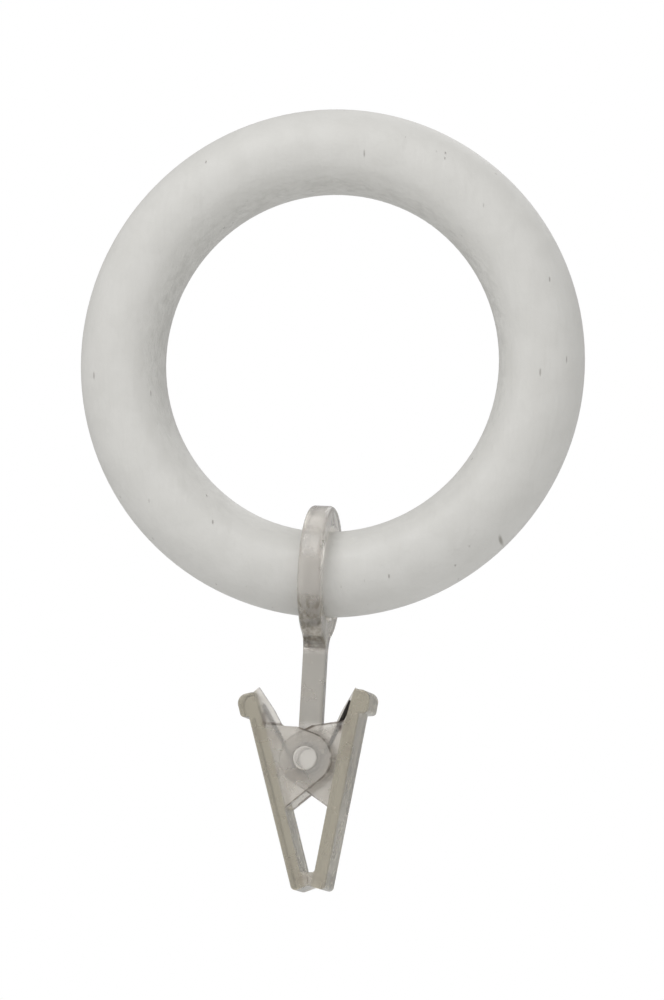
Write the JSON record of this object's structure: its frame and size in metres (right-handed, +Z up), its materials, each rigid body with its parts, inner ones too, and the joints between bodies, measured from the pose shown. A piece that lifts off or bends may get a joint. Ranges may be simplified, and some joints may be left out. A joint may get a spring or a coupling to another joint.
{
  "type": "wooden curtain ring with clip",
  "caption": "Round white painted wooden curtain ring carrying a translucent plastic hanger loop with a stem and a sprung clip that grips the curtain's top edge.",
  "frame": {"origin": "centre of the wooden ring's hole, on the pole's axis", "axes": "+Y along the pole, +Z up, with the hanger and clip below the ring"},
  "size_m": [0.06, 0.0158, 0.0922],
  "materials": {
    "painted_wood": "white satin paint on turned wood",
    "clear_plastic": "aged translucent plastic",
    "spring_wire": "dark spring steel"
  },
  "bodies": {
    "ring": {"wooden_ring": "painted_wood"},
    "hanger": {"hanger": "clear_plastic"},
    "clip": {"spring": "spring_wire"},
    "left_jaw": {"jaw_left": "clear_plastic"},
    "right_jaw": {"jaw_right": "clear_plastic"}
  },
  "joints": [
    {"name": "hanger_slide", "type": "hinge", "parent": "ring", "child": "hanger", "pos_m": [0, 0, 0], "axis": [0, 1, 0], "continuous": true},
    {"name": "clip_swing", "type": "hinge", "parent": "hanger", "child": "clip", "pos_m": [-0.00269, 0, -0.04672], "axis": [0, 1, 0], "range_deg": [-6, 15]},
    {"name": "jaw_left_open", "type": "hinge", "parent": "clip", "child": "left_jaw", "pos_m": [-0.00269, 0, -0.04672], "axis": [0, 1, 0], "range_deg": [0, 13], "stiffness_Nm_per_rad": 0.02, "springref_deg": -20.05, "deforming": ["spring"]},
    {"name": "jaw_right_open", "type": "hinge", "parent": "clip", "child": "right_jaw", "pos_m": [-0.00269, 0, -0.04672], "axis": [0, 1, 0], "range_deg": [-13, 0], "deforming": ["spring"]}
  ],
  "couplings": [
    {"joint": "jaw_right_open", "follows": "jaw_left_open", "ratio": -1}
  ]
}
